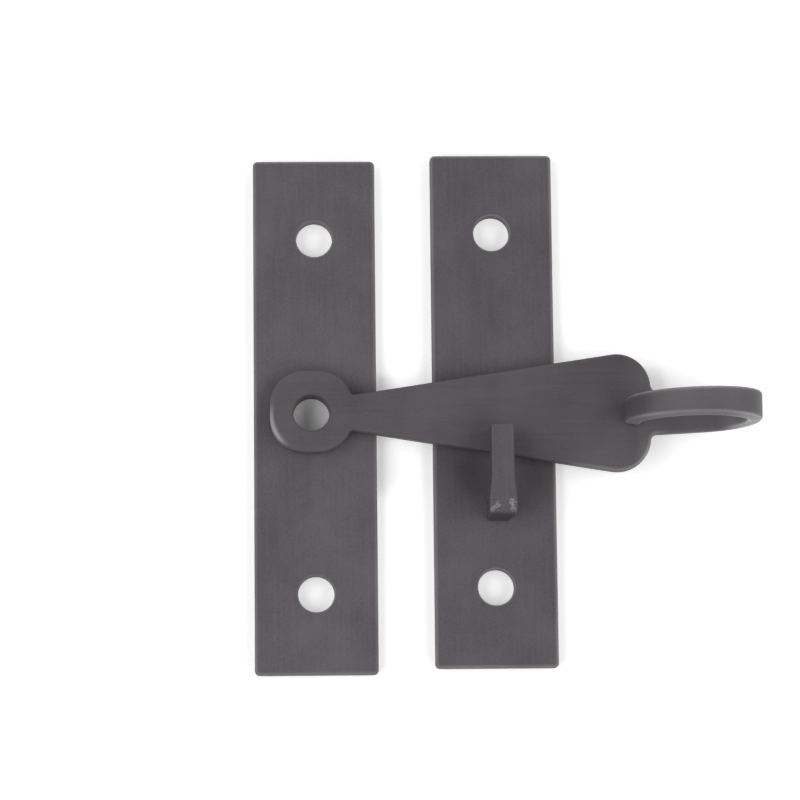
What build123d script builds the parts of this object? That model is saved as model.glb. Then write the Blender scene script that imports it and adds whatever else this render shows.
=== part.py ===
from build123d import *
import os
from math import atan, atan2, cos, degrees, sqrt, tan

# Plates, cut from flat bar
plate_width = 25.4
plate_length = 107.5
plate_thickness = 3.2
plate_corner_radius = 1.0
plate_edge_radius = 0.8
screw_hole_diameter = 7.5
screw_hole_spacing = 74.2
hole_edge_break = 0.3

# Where the plates lie: the pivot is a little off the pivot plate's middle, as drilled by hand
pivot_plate_x = 0.8
pivot_plate_y = -0.1
plate_pitch = 37.05
keeper_rise = 1.15

# Pivot hole, through the bar's eye and the plate behind it
pivot_diameter = 7.5
bar_clearance = 0.15

# Bar, from the eye at the pivot to the rounded end of the blade, and how far it has dropped in the hook
bar_thickness = 3.2
bar_edge_radius = 0.8
bar_turn = -0.27
eye_width = 17.1
eye_corner_radius = 7.2
eye_rise = 0.3
neck_width = 7.5
neck_corner_radius = 0.8
blade_length = 70.2
blade_end_width = 26.9
blade_corner_radius = 7.0

# Pigtail: the bar's tail, drawn narrower and rolled forward until its tip meets the blade
tail_root_width = 8.9
tail_root_run = 0.8
tail_corner_radius = 1.5
tail_run = 8.6
roll_start_width = 7.9
roll_side_width = 5.8
roll_top_width = 5.2
roll_swell = 1.0
loop_height = 22.1
tip_setback = 14.85
tip_length = 2.15
tip_width = 4.9
tip_clearance = 0.3
tip_edge_radius = 0.6

# Keeper hook: a square rod that stands out of the keeper plate and turns up over the bar
hook_stock = 4.76
hook_bend_width = 5.7
hook_length = 18.3
hook_lean = 0.6
hook_flare_end = 3.0
hook_flare_length = 4.4
hook_bend_radius = 3.0
hook_inner_radius = 0.8
hook_edge_radius = 0.5
hook_offset_x = 1.1
hook_drop = 20.4
hook_clearance = 1.75

# Tenon of the hook, riveted over in a countersink behind the keeper plate
tenon_diameter = 3.6
tenon_head_diameter = 5.6
tenon_head_depth = 1.0
tenon_clearance = 0.05

# Levels and centres that the pieces share
bar_back = plate_thickness + bar_clearance
bar_front = bar_back + bar_thickness
bar_middle = bar_back + bar_thickness / 2
hook_inner = bar_front + hook_clearance
hook_outer = hook_inner + hook_stock
keeper_x = pivot_plate_x + plate_pitch
keeper_y = pivot_plate_y + keeper_rise
hook_x = keeper_x + hook_offset_x
hook_y = keeper_y - hook_drop
hook_low = hook_y - hook_stock / 2
hook_foot_x = hook_x - (hook_bend_width - hook_stock) / 2
hook_foot_y = hook_y - hook_lean
half_screw_spacing = screw_hole_spacing / 2


def rounded_plate(x, y):
    """One plate with its back on the mounting plane: rounded corners and rims, and two screw holes."""
    outline = RectangleRounded(plate_width, plate_length, plate_corner_radius)
    plate = extrude(outline, plate_thickness)
    rims = plate.edges().group_by(Axis.Z)
    plate = fillet(rims[0] + rims[-1], plate_edge_radius)
    plate = Pos(x, y, 0) * plate
    for side in (-half_screw_spacing, half_screw_spacing):
        plate = drilled(plate, x, y + side, screw_hole_diameter, 0, plate_thickness)
    return plate


def drilled(piece, x, y, diameter, back, front):
    """A piece with one plain hole through it from back to front, with the front rim broken."""
    middle = Pos(x, y, (back + front) / 2)
    piece = piece - middle * Cylinder(diameter / 2, front - back)
    rims = piece.edges().filter_by(GeomType.CIRCLE)
    around = rims.filter_by(lambda edge: (edge.arc_center - Vector(x, y, front)).length < diameter / 8)
    return chamfer(around.sort_by(SortBy.RADIUS)[0], hole_edge_break)


def tenon(gap):
    """The hook's tenon through the keeper plate, its riveted head flush behind; gap widens it to a hole."""
    standing = (Align.CENTER, Align.CENTER, Align.MIN)
    shank_radius = tenon_diameter / 2 + gap
    head_radius = tenon_head_diameter / 2 + gap
    shank = Cylinder(shank_radius, plate_thickness, align=standing)
    head = Cone(head_radius, shank_radius, tenon_head_depth, align=standing)
    return Pos(hook_foot_x, hook_foot_y, 0) * (shank + head)


def pivot_plate():
    """The plate behind the bar's eye, with the pivot hole."""
    plate = rounded_plate(pivot_plate_x, pivot_plate_y)
    return drilled(plate, 0, 0, pivot_diameter, 0, plate_thickness)


def keeper_plate():
    """The plate on the other leaf, with the countersunk hole that the hook is riveted into."""
    return rounded_plate(keeper_x, keeper_y) - tenon(tenon_clearance)


def keeper_hook():
    """The hook: a side profile with a rounded bend, limited by a plan outline that swells at the bend.

    Below the bend, the leg leans out and narrows to the stock's width at the plate, on its right side alone.
    """
    inner_y = hook_low + hook_stock
    tip_y = hook_low + hook_length
    foot_low = hook_low - hook_lean
    side = make_face(Polyline(
        (foot_low, plate_thickness), (foot_low + hook_stock, plate_thickness), (inner_y, hook_inner),
        (tip_y, hook_inner), (tip_y, hook_outer), (hook_low, hook_outer), close=True))
    outer_bend = side.vertices().filter_by_position(Axis.X, hook_low, hook_low).sort_by(Axis.Y)[-1]
    side = fillet(outer_bend, hook_bend_radius)
    inner_bend = side.vertices().filter_by_position(Axis.X, inner_y, inner_y).sort_by(Axis.Y)[-1]
    side = fillet(inner_bend, hook_inner_radius)
    rod = Pos(hook_x, 0, 0) * extrude(Plane.YZ * side, hook_bend_width / 2, both=True)

    swell_y = hook_low + hook_flare_end
    slim_y = swell_y + hook_flare_length
    wide = hook_bend_width / 2
    slim = hook_stock / 2
    plan = make_face(Polyline(
        (-wide, foot_low), (wide, foot_low), (wide, swell_y), (slim, slim_y), (slim, tip_y),
        (-slim, tip_y), (-slim, slim_y), (-wide, swell_y), close=True))
    limit = Pos(hook_x, 0, plate_thickness) * extrude(plan, hook_outer - plate_thickness)
    corner = make_face(Polyline(
        (hook_stock - wide, plate_thickness), (wide, plate_thickness), (wide, hook_inner), close=True))
    trim = Pos(hook_x, 0, 0) * extrude(Plane.XZ * corner, plate_length / 2, both=True)
    rod = (rod & limit) - trim
    sharp = rod.edges().filter_by(lambda edge: edge.center().Z > plate_thickness + hook_edge_radius / 2)
    rod = fillet(sharp, hook_edge_radius)
    return rod + tenon(0)


def tail_section(width, swell, x, z, along):
    """The tail's rounded section at one place of its path, square to along.

    The bend has squeezed the metal out at the sides, so the section is wider by swell on the roll's inside.
    """
    outer = width / 2
    inner = outer + swell / 2
    half = bar_thickness / 2
    corners = [(-outer, -half), (outer, -half), (inner, half), (-inner, half)]
    section = make_face(Polyline(*corners, close=True))
    section = fillet(section.vertices(), bar_edge_radius)
    return Plane(origin=(x, 0, z), x_dir=(0, 1, 0), z_dir=along) * section


def pigtail(start_x):
    """The rolled tail from start_x on.

    It runs on in the bar's plane, rolls through a half turn, comes back down through a quarter of an
    ellipse, and ends in a short straight tip just clear of the blade.
    """
    roll_radius = (loop_height - bar_thickness) / 2
    roll_x = start_x + tail_run
    side = bar_middle + roll_radius
    top = side + roll_radius
    tip_x = roll_x - tip_setback
    tip_z = bar_front + tip_clearance
    close_z = tip_z + tip_length

    places = [
        (tail_root_width, 0, start_x, bar_middle, (1, 0, 0)),
        (roll_start_width, 0, roll_x, bar_middle, (1, 0, 0)),
        (roll_side_width, roll_swell, roll_x + roll_radius, side, (0, 0, 1)),
        (roll_top_width, roll_swell, roll_x, top, (-1, 0, 0)),
        (tip_width, roll_swell, tip_x, close_z, (0, 0, -1)),
        (tip_width, roll_swell, tip_x, tip_z, (0, 0, -1)),
    ]
    sections = [tail_section(*place) for place in places]
    paths = [
        Line((start_x, 0, bar_middle), (roll_x, 0, bar_middle)),
        TangentArc((roll_x, 0, bar_middle), (roll_x + roll_radius, 0, side), tangent=(1, 0, 0)),
        TangentArc((roll_x + roll_radius, 0, side), (roll_x, 0, top), tangent=(0, 0, 1)),
        Plane.XZ * EllipticalCenterArc((roll_x, close_z), tip_setback, top - close_z, 90, arc_size=90),
        Line((tip_x, 0, close_z), (tip_x, 0, tip_z)),
    ]
    tail = None
    for path, first, last in zip(paths, sections, sections[1:]):
        stretch = sweep([first, last], path=path, multisection=True)
        tail = stretch if tail is None else tail + stretch
    tip = tail.faces().sort_by_distance((tip_x, 0, tip_z))[0]
    return fillet(tip.edges(), tip_edge_radius)


def bar_outline():
    """The bar's outline, from the eye to the end of the tail's root, and how far that end is from the eye.

    Each side of the blade runs straight from neck to end, turns round the end's corner, and turns back
    through a small hollow into the side of the tail.
    """
    half_eye = eye_width / 2
    half_end = blade_end_width / 2
    half_tail = tail_root_width / 2
    slope = (half_end - neck_width / 2) / (blade_length - half_eye)
    flare = atan(slope)
    corner_x = blade_length - blade_corner_radius
    corner_y = half_end - blade_corner_radius * (tan(flare) + 1 / cos(flare))
    hollow_y = half_tail + tail_corner_radius
    centres_apart = blade_corner_radius + tail_corner_radius
    hollow_x = corner_x + sqrt(centres_apart ** 2 - (hollow_y - corner_y) ** 2)
    turn = degrees(atan2(hollow_y - corner_y, hollow_x - corner_x))
    tail_end = hollow_x + tail_root_run

    corner_start = 90 + degrees(flare)
    corner = CenterArc((corner_x, corner_y), blade_corner_radius, corner_start, turn - corner_start)
    hollow = CenterArc((hollow_x, hollow_y), tail_corner_radius, 180 + turn, 90 - turn)
    edge = Line((0, half_end - slope * blade_length), corner @ 0)
    rest = Polyline(hollow @ 1, (tail_end, half_tail), (tail_end, 0), (0, 0), edge @ 0)
    half = make_face([edge, corner, hollow, rest])
    eye = Pos(0, eye_rise) * RectangleRounded(eye_width, eye_width, eye_corner_radius)
    outline = eye + half + mirror(half, Plane.XZ)
    neck_corners = outline.vertices().filter_by_position(Axis.X, half_eye / 2, 1.5 * half_eye)
    return fillet(neck_corners, neck_corner_radius), tail_end


def latch_bar():
    """The bar: eye, neck and flared blade from one outline, and the rolled tail that goes on from it."""
    outline, tail_end = bar_outline()
    bar = extrude(outline, bar_thickness)
    levels = bar.edges().group_by(Axis.Z)
    rims = (levels[0] + levels[-1]).filter_by(lambda edge: edge.center().X < tail_end - tail_root_run / 4)
    bar = fillet(rims, bar_edge_radius)
    bar = Pos(0, 0, bar_back) * bar + pigtail(tail_end)
    bar = drilled(bar, 0, 0, pivot_diameter, bar_back, bar_front)
    return Rot(0, 0, bar_turn) * bar


pieces = {
    "pivot_plate": pivot_plate(),
    "keeper_plate": keeper_plate(),
    "keeper_hook": keeper_hook(),
    "latch_bar": latch_bar(),
}

os.makedirs("parts", exist_ok=True)
for name, piece in pieces.items():
    export_step(piece, f"parts/{name}.step")
    size = piece.bounding_box().size
    print(f"{name}: {piece.volume:.1f} mm3, {size.X:.2f} x {size.Y:.2f} x {size.Z:.2f} mm")
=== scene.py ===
# %% [markdown]
# # A pigtail bar latch in blackened steel
# This catch holds a garden gate, a cupboard or a stable door shut. A flat bar swings on one plate, drops
# behind a bent hook on the other, and is lifted by its tail, which the smith rolled into a finger loop.
# The pieces were drawn as solids first, so their shapes and places are settled before the looks start.
# We load them as a fixed frame and keep their box, because dressing a part must never make it grow.

# %% Load the latch
import math
from collections import namedtuple

import bpy
import numpy as np
from mathutils import Matrix, Vector


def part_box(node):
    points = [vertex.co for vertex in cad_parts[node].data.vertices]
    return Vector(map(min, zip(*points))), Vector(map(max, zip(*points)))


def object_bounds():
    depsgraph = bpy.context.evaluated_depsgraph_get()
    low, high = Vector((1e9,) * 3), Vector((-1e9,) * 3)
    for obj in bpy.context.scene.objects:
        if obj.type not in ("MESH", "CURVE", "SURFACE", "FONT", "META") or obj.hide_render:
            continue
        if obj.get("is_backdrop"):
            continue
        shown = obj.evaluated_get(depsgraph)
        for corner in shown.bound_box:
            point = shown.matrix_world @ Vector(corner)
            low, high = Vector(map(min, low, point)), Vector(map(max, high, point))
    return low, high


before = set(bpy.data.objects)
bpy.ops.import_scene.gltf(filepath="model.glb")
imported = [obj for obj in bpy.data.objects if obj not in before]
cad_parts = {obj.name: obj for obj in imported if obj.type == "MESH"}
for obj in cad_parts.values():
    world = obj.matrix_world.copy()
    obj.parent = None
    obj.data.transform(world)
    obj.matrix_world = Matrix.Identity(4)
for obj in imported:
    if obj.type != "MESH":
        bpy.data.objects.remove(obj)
cad_low, cad_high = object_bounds()
millimetre = 0.001
for piece in sorted(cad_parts):
    low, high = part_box(piece)
    width, depth, height = (high - low) / millimetre
    print(f"{piece}: {width:.1f} x {depth:.1f} x {height:.1f} mm")

# %% [markdown]
# ## The camera
# The photographer stood the camera almost straight above the table, leaning a few degrees towards the foot
# of the plates, so that the lower edges just show. A camera could be aimed by eye. Here it was fitted
# instead: the corners and holes of both plates fix three turns, the point on the table that is in the
# middle of the picture, and the distance. A turn matrix has the camera's right, up and back as its rows,
# so its transpose takes the camera's own axes into the scene.

# %% Place the camera
camera_turns = [math.radians(angle) for angle in (-8.52119, 2.03741, 0.29435)]
camera_distance = 708.12 * millimetre
aim_point = Vector((18.508, 3.460, 0)) * millimetre
focal_length_pixels = 3400
picture_width_pixels = 800

turn_x, turn_y, turn_z = (Matrix.Rotation(angle, 3, axis) for angle, axis in zip(camera_turns, "XYZ"))
camera_axes = (turn_z @ turn_y @ turn_x).transposed()
camera_back = camera_axes.col[2]

camera_data = bpy.data.cameras.new("camera")
camera_data.lens = camera_data.sensor_width * focal_length_pixels / picture_width_pixels
camera = bpy.data.objects.new("camera", camera_data)
camera.matrix_world = Matrix.LocRotScale(aim_point + camera_back * camera_distance, camera_axes, None)
bpy.context.scene.collection.objects.link(camera)
bpy.context.scene.camera = camera
tilt = math.degrees(math.acos(camera_back.z))
print(f"camera {camera_distance:.3f} m away and {tilt:.1f} degrees off straight down")
print(f"lens {camera_data.lens:.0f} mm")

# %% [markdown]
# ## Sums with sockets
# A finish is arithmetic on patterns: how much grain, less how much wear, and so on. Wiring each Math node
# by hand hides that arithmetic. A small class can wrap a socket instead and answer to the usual signs, so
# that `1 - wear` adds the node it needs. Python calls the reflected forms, such as `__rsub__`, when the
# number stands on the left. Every other node comes from one method, which sets the node's own settings
# first, because some of them change which sockets it has.

# %% A socket that can be reckoned with
class Wire:
    """One output socket of a node tree; sums with numbers or other wires add Math nodes to that tree."""

    def __init__(self, tree, socket=None):
        self.tree = tree
        self.socket = socket

    def node(self, kind, settings=None, sockets=None, take=0):
        """Adds any node: settings first, then a value or a wire for each socket; gives one output."""
        made = self.tree.nodes.new(kind)
        for name, value in (settings or {}).items():
            setattr(made, name, value)
        for name, value in (sockets or {}).items():
            if isinstance(value, Wire):
                self.tree.links.new(value.socket, made.inputs[name])
            else:
                made.inputs[name].default_value = value
        return Wire(self.tree, made.outputs[take] if made.outputs else None)

    def sum_of(self, operation, first, second):
        """A Math node on two numbers or wires."""
        return self.node("ShaderNodeMath", {"operation": operation}, {0: first, 1: second})

    def __add__(self, other):
        return self.sum_of("ADD", self, other)

    def __sub__(self, other):
        return self.sum_of("SUBTRACT", self, other)

    def __rsub__(self, other):
        return self.sum_of("SUBTRACT", other, self)

    def __mul__(self, other):
        return self.sum_of("MULTIPLY", self, other)

    __radd__ = __add__
    __rmul__ = __mul__

    def larger(self, other):
        return self.sum_of("MAXIMUM", self, other)

    def ramp(self, start, end, low=0.0, high=1.0):
        """Eases from low to high as this wire goes from start to end, and is level beyond them."""
        return self.node("ShaderNodeMapRange", {"interpolation_type": "SMOOTHSTEP"},
                         {"Value": self, "From Min": start, "From Max": end, "To Min": low, "To Max": high})

    def fall(self, start, end):
        """Eases from 1 down to 0 as this wire goes from start to end."""
        return self.ramp(start, end, 1.0, 0.0)

    def blend(self, first, second):
        """Mixes two colours: the first where this wire is 0 and the second where it is 1."""
        return self.node("ShaderNodeMix", {"data_type": "RGBA"}, {0: self, 6: first, 7: second}, take=2)

    def parts(self):
        """The three numbers of a vector, as three wires."""
        split = self.node("ShaderNodeSeparateXYZ", None, {0: self})
        return [Wire(self.tree, output) for output in split.socket.node.outputs]


def new_finish(name):
    """An empty material: gives it, and a wire to start its nodes from."""
    material = bpy.data.materials.new(name)
    material.use_nodes = True
    material.node_tree.nodes.clear()
    return material, Wire(material.node_tree)


print("sums ready: + - * larger ramp fall blend parts")

# %% [markdown]
# ## What blackened steel looks like
# The latch is mild steel under a thin matt black coat. Close to, three things break up the black. The bar
# stock was drawn through rollers, which leaves long faint lines along each piece. The coat takes unevenly,
# so it is cloudy at the size of a fingertip. And it is slightly rough all over, like fine paper, which is
# why it has a sheen and no mirror. One noise texture does each, on the piece's own coordinates: squeezed
# along the grain for the lines, large for the clouds, and fine for the tooth.

# %% Grain, cloud and tooth
noise_roughness = 0.55
grain_per_metre, grain_squeeze, grain_detail = 1500, 0.04, 3.0
cloud_per_metre, cloud_detail = 75, 3.0
tooth_per_metre = 2600


def noise(place, lumps_per_metre, detail=2.0):
    """Soft noise from 0 to 1, with the given number of lumps to the metre."""
    return place.node("ShaderNodeTexNoise", None, {
        "Vector": place, "Scale": lumps_per_metre, "Detail": detail, "Roughness": noise_roughness})


def drawn_grain(place, across):
    """Noise squeezed along every axis but the one across the grain, so its lumps become long lines."""
    squeeze = [grain_squeeze] * 3
    squeeze["XYZ".index(across)] = 1.0
    stretched = place.node("ShaderNodeVectorMath", {"operation": "MULTIPLY"}, {0: place, 1: squeeze})
    return noise(stretched, grain_per_metre, grain_detail)


line_width = 1 / grain_per_metre / millimetre
print(f"grain lines about {line_width:.1f} mm wide and {line_width / grain_squeeze:.0f} mm long")

# %% [markdown]
# ## Where the rims are lighter
# The rounded edges are a shade lighter than the flats: partly wear from handling, and partly a painted
# highlight for the light that rounded edges catch. Blender can find edges by how pointed a mesh is, but
# these meshes are loose triangles and have no such measure. The direction of the surface tells it just as
# well. On a flat plate, faces look straight out or straight sideways, and only the rounded rims look in
# between. So the share of the direction along one axis, squared, is 1 or 0 on the flats, and `4 s (1 - s)`
# peaks halfway round the rim. On the rolled tail the same sum is done with the axis across the band. A skin
# is the pair of wires
# that these sums need: where a point of the surface is, and which way it faces.

# %% Find the rounded edges
Skin = namedtuple("Skin", "place facing")


def span(start, end):
    """Two places on the part, from millimetres to metres."""
    return start * millimetre, end * millimetre


def rim(direction):
    """4 s (1 - s), where s is the square of one part of the direction: 1 halfway round a rim."""
    share = direction * direction
    return 4 * share * (1 - share)


roll_along = span(71, 76)
roll_height = span(7, 8)


def plate_rims(skin):
    """Rims between the plate's face and its sides."""
    return rim(skin.facing.parts()[2])


def bar_rims(skin):
    """On the blade, rims lie between the front and the sides; on the roll, between band and sides."""
    toward_side, toward_front = skin.facing.parts()[1:]
    along, across, height = skin.place.parts()
    rolled = along.ramp(*roll_along).larger(height.ramp(*roll_height))
    return rolled * rim(toward_side) + (1 - rolled) * rim(toward_front)


def hook_rims(skin):
    """A square rod has rims between all three pairs of faces, so the strongest one counts."""
    side_rims, top_rims, front_rims = (rim(part) for part in skin.facing.parts())
    return side_rims.larger(top_rims).larger(front_rims)


print(f"rims for plates, bar and hook; the roll starts {roll_along[0] / millimetre:.0f} mm from the pivot")

# %% [markdown]
# ## Bright chips at the hook's bend
# It looks as if the hook was bent after it was coated: at the outside corners of the bend the coat cracked,
# and a few chips of bare steel show there in the light. A noise alone would strew them anywhere, so each has
# a place of its own: a round spot on the plan, which fades with the square of the distance from its middle.
# Fine noise then eats into the spots to make them ragged, and a ramp in height keeps them to the front.

# %% Chips where the rod was bent
hook_low, hook_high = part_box("keeper_hook")
hook_x = (hook_low.x + hook_high.x) / 2 / millimetre
bend_y = hook_low.y / millimetre
chip_spots = [(-1.1, 2.6, 1.0), (-2.0, 1.8, 0.8), (2.0, 3.2, 1.1), (2.2, 1.9, 0.9)]
chip_per_metre, chip_detail = 2400, 1.0
chip_raggedness = 3.0
chip_edge = (0.35, 1.2)
chip_fade = 1.1
chip_depth = 3 * millimetre
chip_bareness = 0.42


def spot(place, x, y, radius):
    """1 at a point of the plan and 0 beyond the radius round it, all three in millimetres."""
    along, across = place.parts()[:2]
    off_x, off_y = along - x * millimetre, across - y * millimetre
    return (off_x * off_x + off_y * off_y).fall(0.0, (radius * millimetre) ** 2)


def hook_chips(skin):
    """Small chips at the hook's outer bend, with ragged edges, and 0 everywhere else."""
    found = sum(spot(skin.place, hook_x + x, bend_y + y, radius) for x, y, radius in chip_spots)
    ragged = found + chip_raggedness * (noise(skin.place, chip_per_metre, chip_detail) - 0.5)
    near_front = skin.place.parts()[2].ramp(hook_high.z - chip_depth, hook_high.z - chip_depth / 2)
    return chip_bareness * found.ramp(0.0, chip_fade) * ragged.ramp(*chip_edge) * near_front


print(f"{len(chip_spots)} chips on the hook's bend")

# %% [markdown]
# ## Painted highlights on the bar
# The eye is bright along its left edge, where its rim catches the light, and that highlight is painted on as
# a mix towards bare steel. A painted mask could hold such places, but a mask has to be unwrapped onto the
# piece. Ramps along the bar, across it or in height need only its own coordinates. The bright edge is a ramp
# in the distance from the pivot, kept to one side by a spot, and the number in front says how strong the
# painted highlight is. A fainter share lightens the eye to the left of the pivot.

# %% Painted highlight on the eye
# Where the painted highlight on the eye lies, and how strong it is.
eye_edge_spot = (-7.9, -3.0, 5.4)
eye_edge_start, eye_edge_full = span(7.4, 8.6)
eye_side = span(-6, 2)
eye_edge_highlight, eye_side_lightening = 0.55, 0.035


def eye_highlight(skin):
    """A painted highlight: a crescent on the eye's left edge, found by the square of the distance from the
    pivot, and a faint lightening to the left of the pivot.
    """
    along, across = skin.place.parts()[:2]
    reach_squared = along * along + across * across
    edge = reach_squared.ramp(eye_edge_start ** 2, eye_edge_full ** 2) * spot(skin.place, *eye_edge_spot)
    return eye_edge_highlight * edge + eye_side_lightening * along.fall(*eye_side)


print(f"eye rubbed from {eye_edge_start / millimetre:.1f} mm off the pivot")

# %% [markdown]
# ## The blade's lower corner
# The blade is widest just before the tail. Its lower corner gets painted light: one wide lighter spot there,
# stronger towards the blade's end and strongest on the rim, as a painted highlight. One more ramp makes the
# whole end of the blade a trace lighter.

# %% Painted light on the blade's end
# Painted light on the blade's end and its lower corner, with a painted highlight on the rim.
blade_face = span(48, 62)
blade_end_along, blade_end_across = span(66.5, 70), span(-9, -5)
lit_corner_spot = (64.0, -10.0, 13.0)
blade_face_light = 0.015
lit_corner_share, lit_corner_edge_share, lit_corner_rim_share = 0.05, 0.15, 0.3


def blade_painted_light(skin):
    """Painted light: a faint lightening on the blade, and more at its lower corner, on the rim most of all.
    """
    along, across = skin.place.parts()[:2]
    edge = along.ramp(*blade_end_along) * across.fall(*blade_end_across)
    lit_corner = lit_corner_share + lit_corner_edge_share * edge + lit_corner_rim_share * bar_rims(skin)
    return blade_face_light * along.ramp(*blade_face) + lit_corner * spot(skin.place, *lit_corner_spot)


print(f"thumb's rub {lit_corner_spot[2]:.0f} mm round the blade's lower corner")

# %% [markdown]
# ## The finger loop
# The loop is paler all over, with bright rims. Its band is partly worn by fingers and partly painted
# lighter;
# its floor, the side and the inside of its end, and the band's rims and near side get painted light and
# highlights. Its height above the table tells the band from the blade below it, and the direction that the
# surface faces tells its near side, its inside and its underside apart. Each of them has its own strength,
# and they add up.

# %% Wear and painted light on the finger loop
# Shares of wear and painted light on the finger loop.
band_foot = span(7, 9)
band_far_edge = span(0.5, 2.8)
loop_floor = span(66, 70)
loop_end = span(83, 90)
floor_light, end_side_light, inside_light = 0.08, 0.4, 0.4
band_wear_and_light, far_edge_lightening, band_rim_highlight, under_highlight = 0.085, 0.08, 0.3, 0.7


def loop_wear_and_light(skin):
    """Painted light on the loop's floor and on the side and the inside of its end; wear and painted light on
    its band, with painted highlights on the band's rims and near side.
    """
    along, across, height = skin.place.parts()
    toward_loop, toward_side, toward_front = skin.facing.parts()
    band = height.ramp(*band_foot)
    end = along.ramp(*loop_end)
    near_side = toward_side.fall(-0.8, -0.3)
    inside = end * toward_loop.fall(-0.8, -0.1)
    under = near_side * toward_front.fall(-0.1, 0.1)
    on_band = (band_wear_and_light + far_edge_lightening * across.ramp(*band_far_edge)
               + band_rim_highlight * bar_rims(skin) + under_highlight * under)
    return (floor_light * along.ramp(*loop_floor) * (1 - band)
            + end_side_light * end * near_side + inside_light * inside + band * on_band)


def bar_wear_and_highlights(skin):
    """All the places where the bar is lightened: the loop's wear, and painted light and highlights."""
    return eye_highlight(skin) + blade_painted_light(skin) + loop_wear_and_light(skin)


print(f"loop rubbed from {band_foot[0] / millimetre:.0f} mm above the table")

# %% [markdown]
# ## Painted shade and forge scale
# Some places are darker than the rest. Beside the hook's foot on the plate, on the hook's sides, on the
# underside of its bend and on the tip of the tail, above the blade, this is painted shade. The specks
# between the chips are scale from the forge. Both are a mix towards a sooty black. Where two kinds of it
# meet on the hook, the darker one counts.

# %% Painted shade round the hook and on the tail's tip, scale between the chips
# Painted shade beside the hook's foot: x and y from the hook, radius and share.
hook_foot_shade_spots = [(-7.0, 10.0, 11.0, 0.16), (-4.0, 9.5, 6.0, 0.30)]
# Shares of painted shade on the hook's left and right sides and under its bend, of scale specks between the
# chips, and of painted shade on the tail's tip.
left_side_shade, right_side_shade, under_bend_shade, speck_scale, tip_shade_share = 0.55, 0.25, 0.5, 0.35, 0.62
bend_end = span(bend_y + 3.4, bend_y + 4.4)
# Where the painted shade on the tail's tip lies.
tip_spot = (66.0, 0.0, 4.0)


def keeper_painted_shade(skin):
    """Painted shade: two soft dark spots on the keeper plate, to the left of the hook's foot."""
    return sum(share * spot(skin.place, hook_x + x, bend_y + y, radius)
               for x, y, radius, share in hook_foot_shade_spots)


def hook_shade_and_scale(skin):
    """Painted shade on the hook's two sides and on the underside of its bend, and dark scale specks between
    the chips.
    """
    toward_right, toward_top = skin.facing.parts()[:2]
    bend = skin.place.parts()[1].fall(*bend_end)
    left = left_side_shade * toward_right.fall(-0.9, -0.5)
    right = right_side_shade * (1 - bend) * toward_right.ramp(0.3, 0.7)
    under = under_bend_shade * toward_top.fall(-1.0, -0.8)
    specks = speck_scale * bend * noise(skin.place, chip_per_metre, chip_detail).fall(0.35, 0.5)
    return left.larger(under).larger(specks).larger(right)


def tip_painted_shade(skin):
    """Painted shade on the tip of the tail, above the blade that it comes down to."""
    return tip_shade_share * skin.place.parts()[2].ramp(*band_foot) * spot(skin.place, *tip_spot)


print(f"scale on the keeper plate at {len(hook_foot_shade_spots)} spots, on the hook and on the tail's tip")

# %% [markdown]
# ## The finish itself
# The colour starts between a dark and a light charcoal, moved by the clouds, the grain and the tooth. Rims
# are then lightened a little, with wear and a painted highlight, and scale and painted shade darken it.
# Where the coat is gone, at the hook's chips and on the loop, and where light is painted on the bar, it
# turns towards bare steel, which is also the only place that is metallic. The coat isn't a mirror, so its
# roughness stays near a half, with a slightly tighter shine on the lightened rims. The same patterns go into
# a Bump node, so that the sheen breaks up as it does on the real surface. Each pattern lies between 0 and 1,
# so it moves a value by its share of the way from 0.5.

# %% Blackened steel
coat_dark, coat_light = (0.0692, 0.0602, 0.0686), (0.1022, 0.0937, 0.1055)
# Rims are lightened towards this colour: partly wear, partly a painted highlight.
rim_wear_and_highlight_colour = (0.185, 0.178, 0.180, 1)
# Bare steel: the colour of the hook's chips, and the colour that wear and painted light on the bar are mixed
# towards.
bare_steel_and_highlight, bare_metallic = (0.355, 0.340, 0.350, 1), 0.8
# Sooty black, for forge scale and for painted shade.
scale_and_shade_black = (0.02, 0.017, 0.019, 1)
tone_shares = {"cloud": 1.2, "grain": 0.42, "tooth": 0.7}
coat_roughness, rubbed_polish = 0.52, 0.1
roughness_shares = {"tooth": 0.16, "grain": 0.1}
coat_specular = 0.15
bump_height, bump_strength = 0.05 * millimetre, 0.35
bump_shares = {"grain": 0.3, "tooth": 0.6, "cloud": 0.4}
cloudy_rims = (0.3, 0.7, 0.6, 1.0)


def off_middle(patterns, shares):
    """How far the patterns together move a value, each by its share of the way from 0.5."""
    return sum(share * (patterns[name] - 0.5) for name, share in shares.items())


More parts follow.
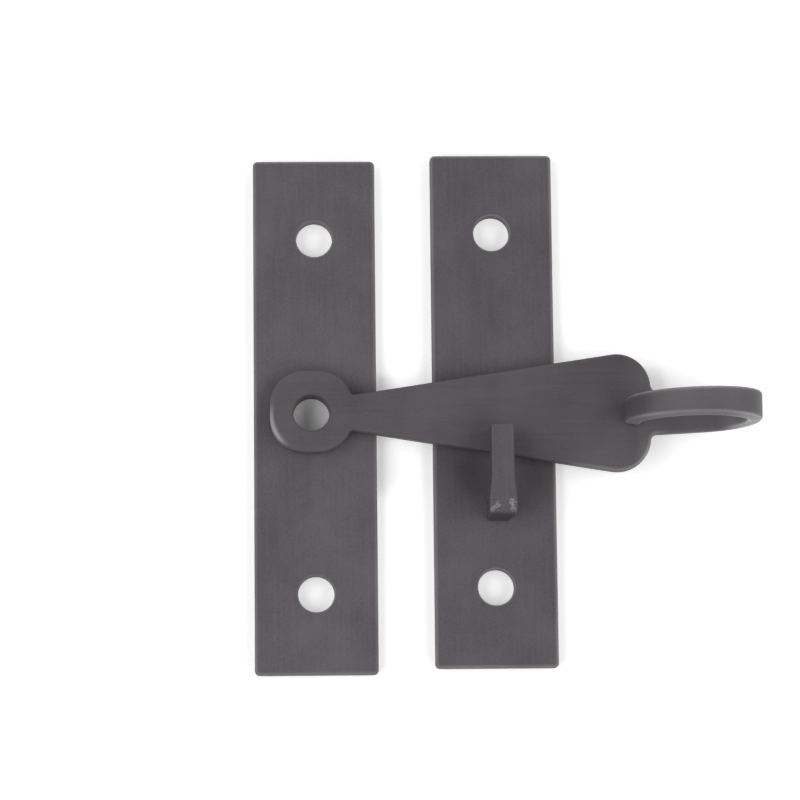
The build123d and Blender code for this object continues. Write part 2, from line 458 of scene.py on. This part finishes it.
def blackened_steel(piece, shade, wear_and_highlight, across, find_rims, find_bare_and_highlight=None, find_scale_and_shade=None):
    """The finish on one piece: shade scales its coat, partly its own tone and partly painted light, and the
    grain runs square to across.
    """
    material, start = new_finish(f"blackened_{piece}")
    skin = Skin(*(start.node("ShaderNodeTexCoord", take=name) for name in ("Object", "Normal")))
    patterns = {"grain": drawn_grain(skin.place, across), "tooth": noise(skin.place, tooth_per_metre),
                "cloud": noise(skin.place, cloud_per_metre, cloud_detail)}
    # Lighter rims: partly wear, partly a painted highlight.
    rim_wear_and_highlight = wear_and_highlight * find_rims(skin) * patterns["cloud"].ramp(*cloudy_rims)

    # Shade scales the coat's colour: partly the piece's own tone, partly painted light.
    dark, light = ([shade * part for part in coat] + [1] for coat in (coat_dark, coat_light))
    tone = 0.5 + off_middle(patterns, tone_shares)
    colour = rim_wear_and_highlight.blend(tone.ramp(0.0, 1.0).blend(dark, light), rim_wear_and_highlight_colour)
    # Scale and painted shade, as a mix towards sooty black.
    if find_scale_and_shade:
        colour = find_scale_and_shade(skin).blend(colour, scale_and_shade_black)
    metallic = 0.0
    # Towards bare steel where the coat is gone, and where light is painted on the bar.
    if find_bare_and_highlight:
        bare_and_highlight = find_bare_and_highlight(skin)
        colour = bare_and_highlight.blend(colour, bare_steel_and_highlight)
        metallic = bare_metallic * bare_and_highlight
    roughness = coat_roughness + off_middle(patterns, roughness_shares) - rubbed_polish * rim_wear_and_highlight
    bump = start.node("ShaderNodeBump", None, {
        "Strength": bump_strength, "Distance": bump_height, "Height": off_middle(patterns, bump_shares)})
    shader = start.node("ShaderNodeBsdfPrincipled", None, {
        "Base Color": colour, "Roughness": roughness, "Metallic": metallic, "Normal": bump,
        "Specular IOR Level": coat_specular})
    start.node("ShaderNodeOutputMaterial", None, {"Surface": shader})
    return material


print(f"coat roughness {coat_roughness}, bump {bump_height / millimetre:.2f} mm")

# %% [markdown]
# ## Dress the four pieces
# Each piece is a little lighter or darker than the next. The bar's coat is darker in its own right, and the
# pivot plate is painted a shade lighter than the keeper plate, as the nearer lamp lights it. The plates'
# rims are lightened more than the bar's and the hook's. The plates and the hook have their grain upwards, so
# it is fine across X. The bar's grain runs along the bar, so it is fine across Y. The solids stay as they
# are: only the material in their first slot is new.

# %% One finish for each piece
# Shade is partly each piece's own tone and partly painted light: the pivot plate's is higher, as a nearer
# lamp would light it.
coats = {
    "pivot_plate": dict(shade=1.15, wear_and_highlight=1.0, across="X", find_rims=plate_rims),
    "keeper_plate": dict(shade=1.09, wear_and_highlight=1.3, across="X", find_rims=plate_rims, find_scale_and_shade=keeper_painted_shade),
    "keeper_hook": dict(shade=1.08, wear_and_highlight=0.12, across="X", find_rims=hook_rims,
                        find_bare_and_highlight=hook_chips, find_scale_and_shade=hook_shade_and_scale),
    "latch_bar": dict(shade=0.95, wear_and_highlight=0.12, across="Y", find_rims=bar_rims,
                      find_bare_and_highlight=bar_wear_and_highlights, find_scale_and_shade=tip_painted_shade),
}
for piece, coat in coats.items():
    finish = blackened_steel(piece, **coat)
    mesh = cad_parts[piece].data
    mesh.materials.clear()
    mesh.materials.append(finish)
    print(f"{piece}: {len(mesh.polygons)} triangles in {finish.name}")

# %% [markdown]
# ## The table
# The latch lies on a white table. A plane would do, but a disc has no corners to catch in a low view. It is
# a surface of two parameters, the share of the radius and the angle: a point is the radius times the cosine
# and the sine. The share is squared, so that the rings lie closer together near the latch.

# %% A round table
table_radius = 2.5
table_gap = 0.05 * millimetre
table_rings, table_spokes = 24, 96


def disc(radius, height, rings, spokes):
    """Points (radius s^2 cos a, radius s^2 sin a, height) for s from 0 to 1 and a all the way round."""
    share = np.linspace(0, 1, rings + 1)[1:, None] ** 2
    angle = np.linspace(0, 2 * np.pi, spokes, endpoint=False)[None, :]
    grid = np.stack([radius * share * np.cos(angle), radius * share * np.sin(angle),
                     np.full((rings, spokes), height)], axis=-1)
    points = np.vstack([[[0, 0, height]], grid.reshape(-1, 3)])
    index = 1 + np.arange(rings * spokes).reshape(rings, spokes)
    after = np.roll(index, -1, axis=1)
    fan = np.stack([np.zeros(spokes, int), index[0], after[0]], axis=-1)
    bands = np.stack([index[:-1], index[1:], after[1:], after[:-1]], axis=-1).reshape(-1, 4)
    return points, fan.tolist() + bands.tolist()


points, faces = disc(table_radius, cad_low.z - table_gap, table_rings, table_spokes)
table_mesh = bpy.data.meshes.new("table")
table_mesh.from_pydata(points, [], faces)
table = bpy.data.objects.new("table", table_mesh)
bpy.context.scene.collection.objects.link(table)
table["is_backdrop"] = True
print(f"table: {len(faces)} faces, {2 * table_radius:.1f} m across")

# %% [markdown]
# ## White paint
# In the picture the table is plain white, with soft shadows only close beside the steel. Paint alone turns
# grey wherever the light falls off. So rays that come from the camera see some plain white on top of the
# paint, and so do rays off a shiny surface or through glass, but rays that carry light see the paint alone.
# About a third is enough to leave the shadows, and far from the latch it grows to all of it. The pivot hole
# is a deep well that little light reaches, so it gets almost none, and four close corners beside the bar,
# where the steel shuts out the room, get a little less than the rest.

# %% Paint the table white
table_paint = (0.95, 0.95, 0.95, 1)
near_glow, far_glow, well_glow = 0.342, 1.0, 0.063
near_and_far = (0.12, 0.4)
well_edge = span(4, 6)
corner_shades = [(14.5, -11.5, 6.5, 0.15), (14.5, -4.3, 3.0, 0.10),
                 (14.5, 5.8, 4.0, 0.15), (71.0, 7.2, 4.0, 0.10)]


def seen_rays(start):
    """1 for rays from the camera, off a shiny surface or through glass, and 0 for rays that carry light."""
    camera_ray = start.node("ShaderNodeLightPath", take="Is Camera Ray")
    outputs = camera_ray.socket.node.outputs
    shiny_ray, glass_ray = (Wire(start.tree, outputs[name])
                            for name in ("Is Glossy Ray", "Is Transmission Ray"))
    return camera_ray.larger(shiny_ray).larger(glass_ray)


def white_table():
    """White paint, with the plain white that the camera sees on top of it."""
    material, start = new_finish("white_table")
    place = start.node("ShaderNodeTexCoord", take="Object")
    reach = start.node("ShaderNodeVectorMath", {"operation": "LENGTH"}, {0: place}, take="Value")
    glow = reach.ramp(*well_edge, well_glow, near_glow) + reach.ramp(*near_and_far, 0.0, far_glow)
    for x, y, radius, shade in corner_shades:
        glow = glow - shade * spot(place, x, y, radius)
    painted = start.node("ShaderNodeBsdfPrincipled", None, {
        "Base Color": table_paint, "Roughness": 1.0, "Specular IOR Level": 0.0,
        "Emission Color": seen_rays(start) * glow, "Emission Strength": 1.0})
    start.node("ShaderNodeOutputMaterial", None, {"Surface": painted})
    return material


table_mesh.materials.append(white_table())
print(f"plain white on the table: {near_glow:.2f} near the latch, {well_glow:.2f} in the pivot hole")

# %% [markdown]
# ## The light
# The pivot hole tells how the latch was lit. Its floor is light at the left and the right and dark in the
# middle, so two wide panels stood at the sides, and the camera's own place above was dark. The left panel is
# nearer: the left plate is a shade lighter than the right one, and shadows fall to the right. Both stand a
# little towards the foot of the plates, which throws the shadows slightly upwards. A weaker panel beyond the
# head of the plates lights the edges that face that way. A panel's power could be found by trial. Here it is
# worked out from the level that the panel should give on the table.

# %% Three wide panels
middle = (cad_low + cad_high) / 2
panel_cuts = 40
left_level, right_level, top_level = 0.41, 0.38, 0.11


def panel_level(place, length, height):
    """Light on level white paint from a panel of 1 W: the sum of cos a cos b / (pi r)^2 over its patches."""
    away = place.normalized()
    along = Vector((0, 0, 1)).cross(away).normalized()
    up = np.array(away.cross(along))
    steps = (np.arange(panel_cuts) + 0.5) / panel_cuts - 0.5
    patches = (np.array(place) + length * steps[:, None, None] * np.array(along)
               + height * steps[None, :, None] * up)
    reach = np.linalg.norm(patches, axis=-1)
    panel_cosine = patches @ np.array(away) / reach
    table_cosine = patches[..., 2] / reach
    return float(np.mean(panel_cosine * table_cosine / (math.pi * reach) ** 2))


def panel(name, place, length, height, level):
    """A lit panel turned to the latch, with the power for this level; place is from the latch's middle."""
    place = Vector(place)
    lamp = bpy.data.lights.new(name, "AREA")
    lamp.shape = "RECTANGLE"
    lamp.size, lamp.size_y = length, height
    lamp.energy = level / panel_level(place, length, height)
    carrier = bpy.data.objects.new(name, lamp)
    carrier.location = middle + place
    carrier.rotation_euler = (-place).to_track_quat("-Z", "Y").to_euler()
    bpy.context.scene.collection.objects.link(carrier)
    print(f"{name}: {lamp.energy:.1f} W")


panel("left_panel", place=(-0.42, -0.08, 0.42), length=0.9, height=0.40, level=left_level)
panel("right_panel", place=(0.70, -0.22, 0.66), length=1.5, height=0.55, level=right_level)
panel("top_panel", place=(0.0, 0.80, 0.40), length=1.2, height=0.40, level=top_level)

# %% [markdown]
# ## The white room
# A little light comes from all round, from the walls of a white room. The camera and any shiny surface see
# those walls as plain white. Panels and room together light a level surface about as bright as its paint is
# written, so that the finish looks right under any other light too.

# %% A white room
room_level = 0.09

world = bpy.data.worlds.new("white_room")
world.use_nodes = True
world.node_tree.nodes.clear()
start = Wire(world.node_tree)
walls = seen_rays(start).ramp(0.0, 1.0, room_level, 1.0)
room = start.node("ShaderNodeBackground", None, {"Color": walls, "Strength": 1.0})
start.node("ShaderNodeOutputWorld", None, {"Surface": room})
bpy.context.scene.world = world
bpy.context.scene.view_settings.view_transform = "Standard"
all_levels = left_level + right_level + top_level + room_level
print(f"light on a level surface: {all_levels:.2f} of the level of white")

# %% [markdown]
# ## Last check
# Dressing the latch must not have changed its size. Both boxes are compared, and how much it grew is
# printed.

# %% Compare the boxes and finish
boxes = {"cad": [list(cad_low), list(cad_high)], "visual": [list(corner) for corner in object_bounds()]}
growth = max(abs(a - b) for side in (0, 1) for a, b in zip(boxes["cad"][side], boxes["visual"][side]))
print(f"grown by {growth} m")
